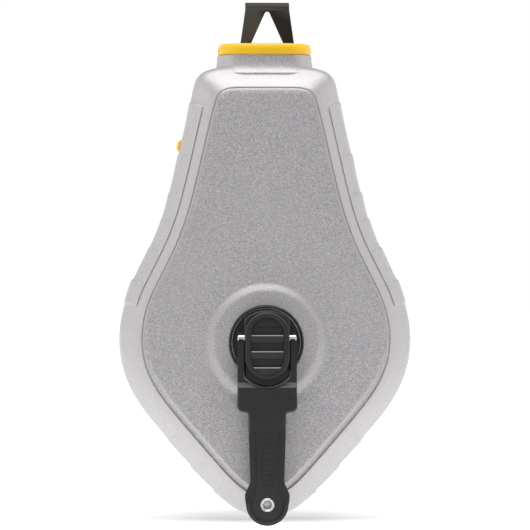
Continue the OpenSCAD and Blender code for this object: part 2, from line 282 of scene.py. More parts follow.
# ------------------------------------------------------------------ materials
class Mat:
    def __init__(self, name):
        self.m = bpy.data.materials.new(name)
        self.m.use_nodes = True
        self.t = self.m.node_tree
        self.b = next(n for n in self.t.nodes if n.type == "BSDF_PRINCIPLED")
        self.co = self.t.nodes.new("ShaderNodeTexCoord").outputs["Object"]

    def set(self, **kw):
        for k, v in kw.items():
            self.b.inputs[k.replace("_", " ")].default_value = v
        return self

    def node(self, kind, **inputs):
        n = self.t.nodes.new(kind)
        for k, v in inputs.items():
            key = int(k[1:]) if k[0] == "i" and k[1:].isdigit() else k.replace("_", " ")
            if isinstance(v, bpy.types.NodeSocket):
                self.t.links.new(v, n.inputs[key])
            else:
                n.inputs[key].default_value = v
        return n

    def noise(self, scale, detail=3.0, rough=0.55, vec=None, distortion=0.0):
        return self.node("ShaderNodeTexNoise", Vector=vec or self.co, Scale=scale, Detail=detail,
                         Roughness=rough, Distortion=distortion).outputs["Fac"]

    def voronoi(self, scale, feature="F1", vec=None):
        n = self.node("ShaderNodeTexVoronoi", Vector=vec or self.co, Scale=scale)
        n.feature = feature
        return n

    def stretch(self, sx, sy, sz):
        n = self.node("ShaderNodeMapping", Vector=self.co)
        n.inputs["Scale"].default_value = (sx, sy, sz)
        return n.outputs["Vector"]

    def ramp(self, fac, stops):
        n = self.node("ShaderNodeValToRGB", Fac=fac)
        e = n.color_ramp.elements
        while len(e) > 1:
            e.remove(e[-1])
        e[0].position, e[0].color = stops[0][0], (*stops[0][1], 1)
        for p, c in stops[1:]:
            x = e.new(p)
            x.color = (*c, 1)
        return n.outputs["Color"]

    def range(self, fac, a, b, lo, hi):
        n = self.node("ShaderNodeMapRange", Value=fac)
        n.inputs["From Min"].default_value = a
        n.inputs["From Max"].default_value = b
        n.inputs["To Min"].default_value = lo
        n.inputs["To Max"].default_value = hi
        return n.outputs["Result"]

    def math(self, op, a, b=0.0, c=0.0):
        n = self.t.nodes.new("ShaderNodeMath")
        n.operation = op
        for i, v in enumerate((a, b, c)):
            if isinstance(v, bpy.types.NodeSocket):
                self.t.links.new(v, n.inputs[i])
            else:
                n.inputs[i].default_value = v
        return n.outputs[0]

    def mix(self, fac, a, b, mode="MIX"):
        n = self.t.nodes.new("ShaderNodeMix")
        n.data_type = "RGBA"
        n.blend_type = mode
        for sock, v in ((n.inputs[0], fac), (n.inputs[6], a), (n.inputs[7], b)):
            if isinstance(v, bpy.types.NodeSocket):
                self.t.links.new(v, sock)
            else:
                sock.default_value = v if isinstance(v, float) else (*v, 1)
        return n.outputs[2]

    def to(self, name, sock):
        self.t.links.new(sock, self.b.inputs[name])
        return self

    def edge(self, lo=0.5, hi=0.62):
        """1 on sharp outer edges, where a coating wears."""
        g = self.t.nodes.new("ShaderNodeNewGeometry")
        return self.range(g.outputs["Pointiness"], lo, hi, 0.0, 1.0)

    def bump(self, height, strength, distance, normal=None):
        n = self.node("ShaderNodeBump", Height=height, Strength=strength, Distance=distance)
        if normal is not None:
            self.t.links.new(normal, n.inputs["Normal"])
        self.n = n.outputs["Normal"]
        self.t.links.new(self.n, self.b.inputs["Normal"])
        return self.n


def cast_metal():
    m = Mat("cast_metal")
    grain = m.noise(2100.0, 2.0, 0.75)
    fine = m.noise(4200.0, 1.0, 0.5)
    cloud = m.noise(38.0, 3.0, 0.5)
    spark = m.voronoi(1500.0).outputs["Distance"]
    geo = m.t.nodes.new("ShaderNodeNewGeometry")
    # flat is 1 on faces turned to front or back and fades on the slopes; it sets the grain mottling's strength and
    # where glints are painted
    flat = m.node("ShaderNodeSeparateXYZ", Vector=geo.outputs["Normal"]).outputs["Y"]
    flat = m.range(m.math("ABSOLUTE", flat), 0.86, 0.985, 0.3, 1.0)
    rough = m.ramp(grain, [(0.28, (0.20, 0.19, 0.212)), (0.5, (0.425, 0.41, 0.43)), (0.72, (0.78, 0.765, 0.78))])
    base = m.mix(m.math("MULTIPLY", flat, 0.7), (0.44, 0.428, 0.436), rough)
    base = m.mix(m.range(cloud, 0.35, 0.7, 0.0, 0.3), base, (0.455, 0.44, 0.455))
    # painted glints: near-white specks in the base colour, only on faces turned to front or back
    base = m.mix(m.math("MULTIPLY", flat, m.range(spark, 0.0, 0.2, 0.5, 0.0)), base, (0.9, 0.89, 0.9))
    m.to("Base Color", base)
    m.set(Metallic=0.5, IOR=1.5)
    m.to("Roughness", m.range(grain, 0.3, 0.75, 0.52, 0.38))
    n = m.bump(grain, 0.3, 0.00012)
    m.bump(fine, 0.15, 0.00005, n)
    return m.m


def yellow_plastic():
    m = Mat("yellow_plastic")
    v = m.noise(60.0, 4.0)
    g = m.noise(2400.0, 2.0)
    m.to("Base Color", m.ramp(v, [(0.3, (0.80, 0.45, 0.006)), (0.7, (0.88, 0.52, 0.010))]))
    m.to("Roughness", m.range(g, 0.3, 0.7, 0.3, 0.42))
    m.set(IOR=1.5, Specular_IOR_Level=0.4)
    m.bump(g, 0.12, 0.00004)
    return m.m


def black_plastic(name="black_plastic", ledge_highlight=0.0):
    m = Mat(name)
    v = m.noise(90.0, 4.0)
    g = m.noise(3600.0, 3.0, 0.7)
    s = m.voronoi(2600.0).outputs["Distance"]
    c = m.ramp(v, [(0.3, (0.010, 0.0095, 0.011)), (0.72, (0.018, 0.017, 0.019))])
    c = m.mix(m.range(g, 0.55, 0.8, 0.0, 0.5), c, (0.05, 0.048, 0.052))
    # painted highlight: a light grey on the up-facing bevels of the lower ledges, standing in for the top light
    # catching their edges
    if ledge_highlight:
        geo = m.t.nodes.new("ShaderNodeNewGeometry")
        up = m.node("ShaderNodeSeparateXYZ", Vector=geo.outputs["True Normal"]).outputs["Z"]
        edge = m.math("MULTIPLY", m.range(up, 0.36, 0.46, 0.0, ledge_highlight), m.range(up, 0.62, 0.72, 1.0, 0.0))
        high = m.node("ShaderNodeSeparateXYZ", Vector=m.co).outputs["Z"]
        edge = m.math("MULTIPLY", edge, m.range(high, 0.0045, 0.0055, 1.0, 0.06))
        c = m.mix(edge, c, (0.42, 0.42, 0.40))
    m.to("Base Color", c)
    m.to("Roughness", m.range(g, 0.3, 0.75, 0.38, 0.55))
    m.set(IOR=1.5, Specular_IOR_Level=0.4)
    n = m.bump(g, 0.32, 0.00009)
    m.bump(s, 0.12, 0.00005, n)
    return m.m


def smooth_black(name="smooth_black"):
    m = Mat(name)
    v = m.noise(120.0, 3.0)
    g = m.noise(4200.0, 2.0, 0.6)
    m.to("Base Color", m.ramp(v, [(0.3, (0.011, 0.010, 0.012)), (0.72, (0.017, 0.016, 0.018))]))
    m.to("Roughness", m.range(g, 0.3, 0.75, 0.27, 0.36))
    m.set(IOR=1.5, Specular_IOR_Level=0.42)
    m.bump(g, 0.16, 0.00004)
    return m.m


def black_steel():
    m = Mat("blackened_steel")
    v = m.noise(300.0, 4.0, 0.6, vec=m.stretch(1, 1, 0.12))
    g = m.noise(4000.0, 2.0)
    c = m.ramp(v, [(0.35, (0.004, 0.0036, 0.0034)), (0.75, (0.008, 0.007, 0.0066))])
    c = m.mix(m.math("MULTIPLY", m.edge(0.53, 0.68), 0.5), c, (0.12, 0.11, 0.105))
    m.to("Base Color", c)
    m.to("Roughness", m.range(v, 0.3, 0.75, 0.26, 0.4))
    m.set(Metallic=0.0, IOR=1.45, Specular_IOR_Level=0.22)
    m.bump(g, 0.1, 0.00003)
    return m.m


def plated_steel():
    m = Mat("plated_steel")
    v = m.noise(900.0, 3.0, 0.6, vec=m.stretch(1, 0.05, 1))
    c = m.ramp(v, [(0.3, (0.56, 0.55, 0.55)), (0.7, (0.74, 0.73, 0.72))])
    m.to("Base Color", c)
    m.to("Roughness", m.range(v, 0.3, 0.7, 0.16, 0.34))
    m.set(Metallic=1.0)
    m.bump(v, 0.08, 0.00003)
    return m.m


def brass():
    m = Mat("gear_brass")
    v = m.noise(700.0, 3.0, 0.6, vec=m.stretch(1, 0.05, 1))
    m.to("Base Color", m.ramp(v, [(0.3, (0.60, 0.42, 0.16)), (0.7, (0.76, 0.57, 0.26))]))
    m.to("Roughness", m.range(v, 0.3, 0.7, 0.22, 0.4))
    m.set(Metallic=1.0)
    m.bump(v, 0.1, 0.00004)
    return m.m


def gear_plastic():
    m = Mat("gear_plastic")
    v = m.noise(160.0, 3.0)
    g = m.noise(3000.0, 2.0)
    m.to("Base Color", m.ramp(v, [(0.3, (0.66, 0.63, 0.55)), (0.7, (0.76, 0.73, 0.65))]))
    m.to("Roughness", m.range(g, 0.3, 0.7, 0.38, 0.5))
    m.set(IOR=1.48, Subsurface_Weight=0.1, Subsurface_Scale=0.001)
    m.bump(g, 0.1, 0.00004)
    return m.m


def rubber():
    m = Mat("seal_rubber")
    g = m.noise(2500.0, 3.0)
    m.to("Base Color", m.ramp(g, [(0.3, (0.015, 0.015, 0.016)), (0.7, (0.035, 0.035, 0.037))]))
    m.to("Roughness", m.range(g, 0.3, 0.7, 0.7, 0.85))
    m.bump(g, 0.2, 0.00005)
    return m.m


def felt():
    m = Mat("felt")
    a = m.noise(1500.0, 6.0, 0.75, distortion=1.2)
    b = m.noise(4800.0, 3.0, 0.7, distortion=2.0)
    c = m.ramp(a, [(0.3, (0.27, 0.25, 0.22)), (0.7, (0.52, 0.49, 0.44))])
    m.to("Base Color", c)
    m.set(Roughness=0.95, Sheen_Weight=0.5, Sheen_Roughness=0.5)
    n = m.bump(a, 0.6, 0.0003)
    m.bump(b, 0.4, 0.0001, n)
    return m.m


def braided():
    m = Mat("braided_line")
    w = m.t.nodes.new("ShaderNodeTexWave")
    w.inputs["Scale"].default_value = 420.0
    w.inputs["Distortion"].default_value = 2.0
    w.inputs["Detail"].default_value = 2.0
    m.t.links.new(m.co, w.inputs["Vector"])
    dust = m.noise(240.0, 4.0, 0.6)
    c = m.ramp(w.outputs["Fac"], [(0.2, (0.62, 0.60, 0.54)), (0.8, (0.86, 0.84, 0.78))])
    c = m.mix(m.range(dust, 0.5, 0.8, 0.0, 0.6), c, (0.15, 0.32, 0.66))
    m.to("Base Color", c)
    m.set(Roughness=0.9, Sheen_Weight=0.3, Sheen_Roughness=0.4)
    m.bump(w.outputs["Fac"], 0.6, 0.0002)
    return m.m


M_CAST, M_YEL, M_BLK, M_SBLK = cast_metal(), yellow_plastic(), black_plastic(), smooth_black()
# thumb slide plastic, with painted highlight lines on its ledges
M_RIBS = black_plastic("plastic_painted_ledge_highlight", 0.72)
M_HOOK, M_STEEL, M_BRASS, M_GEAR = black_steel(), plated_steel(), brass(), gear_plastic()
M_RUB, M_FELT, M_LINE = rubber(), felt(), braided()
BY_SLOT = {"cast_metal": M_CAST, "seal_rubber": M_RUB, "plated_steel": M_STEEL, "yellow_plastic": M_YEL,
           "felt": M_FELT, "blackened_steel": M_HOOK, "braided_line": M_LINE, "black_plastic": M_BLK,
           "gear_plastic": M_GEAR, "gear_brass": M_BRASS}
for sp in frame["record"]["subparts"]:
    o = frame["nodes"][sp["node"]]
    mat = BY_SLOT[sp["material_slot"]]
    for s in o.material_slots:
        s.material = mat
    if not o.material_slots:
        o.data.materials.append(mat)


# ------------------------------------------------------------------ case shells
def tangent_normals(p):
    t = np.roll(p, -1, axis=0) - np.roll(p, 1, axis=0)
    t /= np.linalg.norm(t, axis=1)[:, None]
    n = np.stack([-t[:, 1], t[:, 0]], axis=1)
    sign = np.sign((n * (p - [0, 20])).sum(axis=1).mean())
    return n * sign


NRM = tangent_normals(OUT)


def step(x, a, w):
    """0 above a, 1 below a, over a width w."""
    return np.clip((a - x) / w + 0.5, 0, 1)


FLANK = [(86.6, 0.42), (67.8, 0.42), (54.0, 0.5), (44.4, 0.38), (34.0, 0.42), (22.4, 0.5)]
LOWER = [(-35.2, 0.4), (-44.7, 0.4), (-53.6, 0.4)]


def strip_lift(p, d):
    """How far the moulded grip steps stand out of the plain case, for outline points p at inset d."""
    z, x = p[:, 1], p[:, 0]
    flank = step(z, 86.6, 0.5) * (1 - step(z, 14.2, 0.5)) * (np.abs(x) > 12)
    inside = 1.0 if d < 4.55 else 0.0
    lift = 0.3 * flank * inside
    fade = np.clip((4.6 - d) / 2.0, 0, 1)
    for a, h in FLANK:
        tooth = step(z, a, 0.45) * np.clip(1 - (a - z) / 8.5, 0, 1) * flank
        soft = np.where((x < 0) & (a < 80) & (a > 30), 0.45, 1.0)
        lift = lift + (h - 0.3 if a > 80 else h) * tooth * fade * soft
    fade = np.clip((4.4 - d) / 2.2, 0, 1)
    for a, h in LOWER:
        tooth = step(z, a, 0.45) * np.clip(1 - (a - z) / 8.0, 0, 1) * (np.abs(x) > 9)
        lift = lift + h * tooth * fade
    if 4.55 <= d <= 4.8:
        long = step(z, 84.6, 0.4) * (1 - step(z, 14.6, 0.4)) * (np.abs(x) > 12)
        lift = lift - 0.1 * long
    return lift


def skin_ring(d, y, slope):
    """slope is the angle of the surface's normal towards the front or back, 0 at the silhouette."""
    p = outline(d)
    k = strip_lift(OUT, d)
    c, s = math.cos(slope), math.sin(slope)
    out = np.zeros((N, 3))
    out[:, 0] = p[:, 0] + NRM[:, 0] * k * c
    out[:, 2] = p[:, 1] + NRM[:, 1] * k * c
    out[:, 1] = y + (k * s if y > YP else -k * s)
    if y < -36 and 8.05 < d < 10.5:
        low = np.clip((-4 - OUT[:, 1]) / 34, 0, 1)
        out[:, 1] += 0.72 * low * low * (3 - 2 * low) * float(np.interp(d, [8.05, 8.2, 8.34, 8.68, 9.2, 9.7, 10.2, 10.5], [0.0, 0.3, 0.62, 0.92, 1.0, 0.86, 0.34, 0.0]))
    return out


def slopes(prof):
    out = []
    for i in range(len(prof)):
        a, b = prof[max(i - 1, 0)], prof[min(i + 1, len(prof) - 1)]
        dd, dy = b[0] - a[0], abs(b[1] - a[1])
        out.append(math.atan2(dd, max(dy, 1e-6)))
    return out


def round_side(y_end, n=22, depth=7.6, start=0.35, power=2.5):
    """Inset and y from the silhouette round to the rim: a super-ellipse."""
    out = []
    for i in range(n + 1):
        a = math.pi / 2 * i / n
        dy = math.sin(a) ** (2 / power)
        dd = 1 - math.cos(a) ** (2 / power)
        out.append((dd * depth, YP + (y_end - YP) * (start + (1 - start) * dy)))
    return out


GROOVE = [4.3, 4.5, 4.56, 4.66, 4.76, 4.84, 5.0]


def side_curve(y_end):
    """Front: a steady slope off the rim, then a short round into the side."""
    pts = [(0.0, y_end + 10.2), (0.04, y_end + 9.2), (0.16, y_end + 8.4), (0.38, y_end + 7.65), (0.72, y_end + 6.9),
           (1.15, y_end + 6.25), (1.65, y_end + 5.66), (2.3, y_end + 5.03)]
    x = 2.8
    while x < 8.0:
        pts.append((x, y_end + (8.0 - x) * 0.882 - 0.28 * math.sin(math.pi * (x - 2.3) / 5.7)))
        x += 0.4
    return pts + [(7.9, y_end + 0.06)]


def fine_profile(y_end):
    prof = [(0.42, YP + math.copysign(0.05, y_end - YP)), (0.12, YP + math.copysign(0.28, y_end - YP)),
            (0.0, YP + math.copysign(0.7, y_end - YP))]
    prof += [(0.0, YP + (y_end - YP) * 0.18)]
    rs = side_curve(y_end) if y_end < YP else round_side(y_end)
    rd = [r[0] for r in rs]
    ry = [r[1] for r in rs]
    extra = [(q, float(np.interp(q, rd, ry))) for q in GROOVE]
    return prof + sorted(rs + extra, key=lambda r: (r[0], abs(r[1] - YP)))


def angle_ring(r, y):
    p = outline(9.9)
    a = np.arctan2(p[:, 1], p[:, 0])
    return np.stack([r * np.cos(a), np.full(N, y), r * np.sin(a)], axis=1)


def torus_mesh(name, rings):
    n = len(rings[0])
    v = np.vstack(rings)
    f = []
    m = len(rings)
    for i in range(m):
        i2 = (i + 1) % m
        for j in range(n):
            k = (j + 1) % n
            f.append((i * n + j, i * n + k, i2 * n + k, i2 * n + j))
    return mesh_obj(name, v, f)


prof = fine_profile(YRIM)
prof += [(8.05, YRIM + 0.02), (8.18, YRIM + 0.14), (8.34, YRIM + 0.26), (8.5, YRIM + 0.18), (8.68, YRIM - 0.02), (8.9, YRIM - 0.18),
         (9.2, YRIM - 0.28), (9.7, YRIM - 0.41), (10.2, YRIM - 0.51), (10.7, YRIM - 0.57), (11.2, YF)]
sl = slopes(prof)
rings = [skin_ring(d, y, s) for (d, y), s in zip(prof, sl)]
for r, y in [(24.5, YF), (23.0, YF), (22.1, YF), (21.5, YF - 0.06), (21.0, YF - 0.24), (20.4, YF - 0.56), (19.4, YF - 1.14),
             (18.8, YF - 1.42), (18.3, YF - 1.55), (17.8, YF - 1.59), (17.2, YRING), (14.6, YRING), (13.5, YRING),
             (13.12, YRING + 0.3), (13.05, YRING + 0.8), (13.05, -37.0)]:
    rings.append(angle_ring(r, y))
rings.append(angle_ring(24.5, -37.0))
for d, y in [(11.2, -37.0), (10.1, -36.9), (8.6, -35.6), (6.1, -33.4), (3.8, -31.4), (2.8, -29.5), (2.5, -26), (2.4, YP - 0.05)]:
    p = outline(d)
    rings.append(np.stack([p[:, 0], np.full(N, y), p[:, 1]], axis=1))
front = torus_mesh("case_front_shell", rings)

prof = fine_profile(-1.3)
prof += [(7.9, -1.28), (8.1, -1.3), (8.3, -1.2), (8.7, -0.6), (8.95, -0.2), (9.3, -0.04), (9.8, 0.0)]
sl = slopes(prof)
rings = [skin_ring(d, y, s) for (d, y), s in zip(prof, sl)]
v = np.vstack(rings)
inner = []
for d, y in [(9.6, -2.4), (8.0, -2.7), (6.0, -4.2), (4.4, -6.0), (3.2, -8.5), (2.7, -11.5), (2.5, -15), (2.4, YP + 0.05)]:
    p = outline(d)
    inner.append(np.stack([p[:, 0], np.full(N, y), p[:, 1]], axis=1))
m0 = len(rings)
allr = rings + inner
vv = np.vstack(allr)
ff = []
for i in range(len(allr)):
    if i == m0 - 1:
        continue
    i2 = (i + 1) % len(allr)
    for j in range(N):
        k = (j + 1) % N
        ff.append((i * N + j, i * N + k, i2 * N + k, i2 * N + j))
ff.append([(m0 - 1) * N + j for j in range(N)])
ff.append([m0 * N + j for j in range(N)][::-1])
rear = mesh_obj("case_rear_shell", vv, ff)


def neck_half(name, y_lo, y_hi):
    ring = []
    for z, g in [(93.5, 1.9), (97.0, 1.9), (97.8, 1.25), (98.6, 0.75), (99.5, 0.42), (100.6, 0.2), (101.8, 0.06),
                 (103.3, 0.0), (103.6, -0.12), (103.7, -0.4)]:
        rr = round_rect(34 + 2 * g, 26 + 2 * g, 10 + g, 14)
        ring.append([(a, YP + b, z) for a, b in rr])
    o = loft(name, ring)
    bore = loft("bore", [[(a, YP + b, z) for a, b in round_rect(27, 19, 7, 10)] for z in (90, 110)])
    boolean(o, bore)
    half = box("half", (-40, y_lo, 80), (40, y_hi, 120))
    return boolean(o, half, "INTERSECT")


lead = box("lead", (-13.4, YP - 9.4, 80), (13.4, YP + 9.4, 99))
boolean(front, neck_half("nf", -60, YP - 0.05), "UNION")
boolean(rear, neck_half("nr", YP + 0.05, 20), "UNION")
for sh in (front, rear):
    c = loft("bore2", [[(a, YP + b, z) for a, b in round_rect(27, 19, 7, 10)] for z in (86, 110)])
    boolean(sh, c)
bpy.data.objects.remove(lead, do_unlink=True)


def on_side(o):
    m = Matrix.Translation(Vector((-30.5, YP, 70)) * MM) @ Matrix.Rotation(math.radians(13.5), 4, "Y")
    o.data.transform(m)
    return o


def port_cutter():
    pts = [(-6 + 0, 0)]
    rr = round_rect(16, 24.5, 2.2, 8)
    o = loft("port", [[(x, a, b - 7.75) for a, b in rr] for x in (-8, 5)])
    return on_side(o)


for sh in (front, rear):
    boolean(sh, port_cutter())
SCREWS = [(40.6, 6), (-40.6, 6), (0, -49.5), (15, 83.5), (-15, 83.5)]
for i, (x, z) in enumerate(SCREWS):
    c = lathe("rec", [(0, 1), (3.25, 1), (3.25, -0.12), (3.1, -0.3), (3.1, -2.2), (1.7, -2.21), (1.7, -9), (0, -9)], x, z, 48)
    boolean(rear, c)
for sh, nodes in ((front, "front_case"), (rear, "rear_case")):
    clean(sh, 0.004)
    smooth(sh, 38)
    assign(sh, M_CAST)
    link(sh, "case", [nodes])


# ------------------------------------------------------------------ outline tools
def fillet(pts, n=8):
    """pts are (x, z, radius) corners of a closed outline; each corner is rounded by its radius."""
    out = []
    m = len(pts)
    for i in range(m):
        a, b, c = (np.array(pts[(i + k) % m][:2], float) for k in (-1, 0, 1))
        r = pts[i][2]
        u, w = a - b, c - b
        lu, lw = np.linalg.norm(u), np.linalg.norm(w)
        u, w = u / lu, w / lw
        ang = math.acos(max(-1, min(1, float(u @ w))))
        if r <= 0 or ang > math.radians(178):
            out.append(tuple(b))
            continue
        t = min(r / math.tan(ang / 2), 0.48 * lu, 0.48 * lw)
        r = t * math.tan(ang / 2)
        p, q = b + u * t, b + w * t
        ctr = b + (u + w) / np.linalg.norm(u + w) * (r / math.sin(ang / 2))
        a0 = math.atan2(*(p - ctr)[::-1])
        a1 = math.atan2(*(q - ctr)[::-1])
        da = (a1 - a0 + math.pi) % (2 * math.pi) - math.pi
        for k in range(n + 1):
            t2 = a0 + da * k / n
            out.append((ctr[0] + r * math.cos(t2), ctr[1] + r * math.sin(t2)))
    return out


def resample(pts, step_mm):
    p = np.array(pts, float)
    q = np.vstack([p, p[:1]])
    d = np.r_[0, np.cumsum(np.linalg.norm(np.diff(q, axis=0), axis=1))]
    n = max(12, int(d[-1] / step_mm))
    t = np.arange(n) / n * d[-1]
    return np.stack([np.interp(t, d, q[:, 0]), np.interp(t, d, q[:, 1])], axis=1)


def shrink(p, d):
    """Moves a closed, dense outline inwards by d."""
    t = np.roll(p, -1, axis=0) - np.roll(p, 1, axis=0)
    t /= np.linalg.norm(t, axis=1)[:, None] + 1e-12
    n = np.stack([-t[:, 1], t[:, 0]], axis=1)
    area2 = (p[:, 0] * np.roll(p[:, 1], -1) - np.roll(p[:, 0], -1) * p[:, 1]).sum()
    return p + n * d * (1 if area2 > 0 else -1)


def round_prism(name, pts, y0, y1, r0=0.3, r1=0.6, step_mm=0.35, n=5):
    """Prism along Y from y0 at the back to y1 at the front, both rims rounded."""
    p = resample(pts, step_mm)
    s = -1 if y1 < y0 else 1
    rings = []
    for k in range(n + 1):
        a = math.pi / 2 * k / n
        q = shrink(p, r0 * (1 - math.sin(a)))
        rings.append([(u, y0 + s * r0 * (1 - math.cos(a)), v) for u, v in q])
    for k in range(n + 1):
        a = math.pi / 2 * k / n
        q = shrink(p, r1 * (1 - math.cos(a)))
        rings.append([(u, y1 - s * r1 * (1 - math.sin(a)), v) for u, v in q])
    return loft(name, rings)


def circle(r, x=0.0, z=0.0, n=96):
    return [(x + r * math.cos(2 * math.pi * i / n), z + r * math.sin(2 * math.pi * i / n)) for i in range(n)]


def stadium(r, z0, z1, x=0.0, n=28):
    up = [(x + r * math.cos(math.pi * i / n), z1 + r * math.sin(math.pi * i / n)) for i in range(n + 1)]
    dn = [(x - r * math.cos(math.pi * i / n), z0 - r * math.sin(math.pi * i / n)) for i in range(n + 1)]
    return up + dn


def cyl(name, r, y0, y1, x=0.0, z=0.0, n=72):
    return lathe(name, [(0, y0), (r, y0), (r, y1), (0, y1)], x, z, n)


def finish(o, mat, body, nodes, angle=35, bev=0.0, segs=2):
    clean(o)
    if bev:
        limited(o, 0.3)
        bevel(o, bev, segs, 30)
        apply_mods(o)
        clean(o, 0.001)
    smooth(o, angle)
    assign(o, mat)
    return link(o, body, nodes)


# ------------------------------------------------------------------ nozzle
rings = []
for z, g in [(91.0, -3.9), (91.25, -3.65), (103.55, -3.65), (103.56, -1.0), (103.62, -0.75), (103.8, -0.35), (104.15, -0.08),
             (104.6, 0.02), (105.6, 0.05), (106.3, 0.0), (106.9, -0.16), (107.3, -0.42), (107.6, -0.85), (107.75, -1.4), (107.8, -2.2)]:
    if g < -3:
        rr = round_rect(33.5 + 2 * (g + 0.25), 27 + 2 * (g - 0.25), 7.0, 14)
    else:
        rr = round_rect(33.5 + 2 * g, 27.2 + 2 * g, 10.5 + g, 14)
    rings.append([(a, YP + b, z) for a, b in rr])
noz = loft("nozzle_collar", rings)
slot_cut = loft("slot", [[(a * s, YP + b * s2, z) for a, b in round_rect(23.2, 2.6, 0.6, 6)]
                         for z, s, s2 in [(97.6, 1, 1), (107.2, 1, 1), (107.95, 1.035, 1.3)]])
boolean(noz, slot_cut)
boolean(noz, lathe("throat", [(0, 97.6), (2.8, 97.6), (2.8, 107.3), (3.3, 107.95), (0, 107.95)], axis="Z", at=(0, YP, 0), n=64))
boolean(noz, lathe("hole", [(0, 90), (1.4, 90), (1.4, 98), (0, 98)], axis="Z", at=(0, YP, 0), n=40))
boolean(noz, box("pocket", (-7, YP - 6, 90), (7, YP + 6, 95)))
finish(noz, M_YEL, "case", ["line_nozzle"], 40)

# ------------------------------------------------------------------ hook
HX = 1.1
T = 1.5
top = 123.4
path = [(-0.0, 100.4, 9.3), (0.0, 100.7, 9.8), (0.0, 101.2, 9.9), (0, 104.0, 9.9), (0, 107.6, 9.88), (0, 112, 9.24), (0, 116, 8.66), (0, top - 2.6, 8.0)]
pts = [(YP - T / 2, YP + T / 2, z, z, w) for _, z, w in path]
for k in range(1, 9):
    a = math.pi / 2 * k / 8
    cy, cz = YP - T / 2 + 2.6, top - 2.6
    pts.append((cy - 2.6 * math.cos(a), cy - 1.1 * math.cos(a), cz + 2.6 * math.sin(a), cz + 1.1 * math.sin(a), 8.0))
for y, w in [(-16.5, 7.9), (-13.5, 7.65), (-10.6, 7.4), (-9.7, 7.0), (-9.3, 6.3)]:
    pts.append((y, y, top, top - T, w))
rings = []
for yo, yi, zo, zi, w in pts:
    o_, i_ = np.array([yo, zo]), np.array([yi, zi])
    e = 0.22
    u = (i_ - o_) / np.linalg.norm(i_ - o_)
    ring = []
    for sx, a, inn in [(1, 0, 0), (1, 1, 0), (1, 1, 1), (1, 0, 1), (-1, 0, 1), (-1, 1, 1), (-1, 1, 0), (-1, 0, 0)]:
        base = i_ if inn else o_
        q = base + (u * e if (a and not inn) else -u * e if (a and inn) else 0)
        x = sx * (w - (0 if a else e))
        ring.append((HX + x, q[0], q[1]))
    rings.append(ring)
hook = loft("end_hook", rings)
tri = fillet([(-6.15, 107.8, 1.5), (-6.3, 105.9, 0.6), (-5.6, 105.2, 0.5), (5.6, 105.2, 0.5), (6.3, 105.9, 0.6), (6.15, 107.8, 1.5),
              (0.0, 121.4, 1.0)], 8)
boolean(hook, loft("win", [[(HX + a, y, b) for a, b in tri] for y in (-23, -17)]))
boolean(hook, lathe("eye", [(0, -23), (1.1, -23), (1.1, -17), (0, -17)], 0.0, 102.4, 40))
finish(hook, M_HOOK, "hook", ["line_hook"], 40)

# ------------------------------------------------------------------ chalk door
plate = loft("chalk_door", [[(x, a, b - 7.75) for a, b in round_rect(19 - 2 * g, 29.5 - 2 * g, 1.4, 6)]
                            for x, g in [(4.5, 0.25), (4.3, 0.0), (3.1, 0.0), (2.9, 0.2)]])
bump = loft("bump", [[(x, a, b + 1.0) for a, b in round_rect(10 - 2 * g, 4.4 - 2 * g, max(1.3 - g * 0.6, 0.3), 8)]
                     for x, g in [(3.2, 0.0), (0.2, 0.0), (-0.5, 0.12), (-1.0, 0.4), (-1.32, 0.8), (-1.48, 1.3), (-1.5, 1.7)]])
boolean(plate, bump, "UNION")
for zz in (-1.15, 1.0, 3.15):
    g = lathe("gr", [(0, -6), (0.28, -6), (0.28, 6), (0, 6)], -1.56, zz, 20)
    boolean(plate, g)
on_side_x = -30.5
m = Matrix.Translation(Vector((on_side_x, YP, 70)) * MM) @ Matrix.Rotation(math.radians(13.5), 4, "Y")
plate.data.transform(m)
finish(plate, M_YEL, "door", ["fill_door"], 40)

# ------------------------------------------------------------------ hub bushing and hub
bush = lathe("hub_bezel", [(12.45, -39.1), (12.45, -41.6), (12.5, -41.88), (12.64, -42.05), (12.85, -42.1), (13.05, -42.02), (13.22, -41.82),
                           (13.3, -41.5), (13.3, -41.05), (13.0, -41.02), (13.0, -39.1)], n=160, closed_prof=True)
finish(bush, M_SBLK, "case", ["hub_bushing"], 50)

disc = lathe("crank_hub_body", [(2.56, -37.9), (11.0, -37.9), (11.0, -38.25), (11.2, -38.25), (11.2, -38.75), (12.0, -38.76), (12.1, -38.9),
                                (12.1, -40.9), (12.02, -41.2), (11.8, -41.38), (11.5, -41.4), (2.56, -41.4)],
             n=144, closed_prof=True)
xs = np.linspace(-8, 8, 49)
bo = [(x, math.sqrt(11.7 ** 2 - x * x)) for x in xs[::-1]] + [(x, -5 - math.sqrt(10.4 ** 2 - x * x)) for x in xs]
boss = round_prism("boss", fillet([(x, z, 0.6) for x, z in bo], 4), -41.2, -49.4, 0.05, 0.7, 0.3)
boolean(disc, boss, "UNION")
boolean(disc, lathe("ax", [(0, -36), (2.56, -36), (2.56, -42.9), (0, -42.9)], n=64))
boolean(disc, box("dogslot", (-2.8, -46.3, -9.9), (2.8, -42.8, 9.9)))
boolean(disc, box("footslot", (-2.3, -50, -12.2), (2.3, -46, -4.9)))
for s in (-1, 1):
    boolean(disc, cyl("dh", 1.3, -36, -43.4, 0, 8 * s, 32))
boolean(disc, lathe("ph", [(0, -12), (1.21, -12), (1.21, 12), (0, 12)], axis="X", at=(0, PIN_Y, PIN_Z), n=40))
finish(disc, M_BLK, "hub", ["crank_hub"], 35)

pin = lathe("fold_pin", [(0, -10.55), (0.8, -10.5), (1.08, -10.3), (1.2, -10.0), (1.2, 10.0), (1.08, 10.3), (0.8, 10.5), (0, 10.55)],
            axis="X", at=(0, PIN_Y, PIN_Z), n=48)
finish(pin, M_STEEL, "hub", ["crank_pivot_pin"], 50)

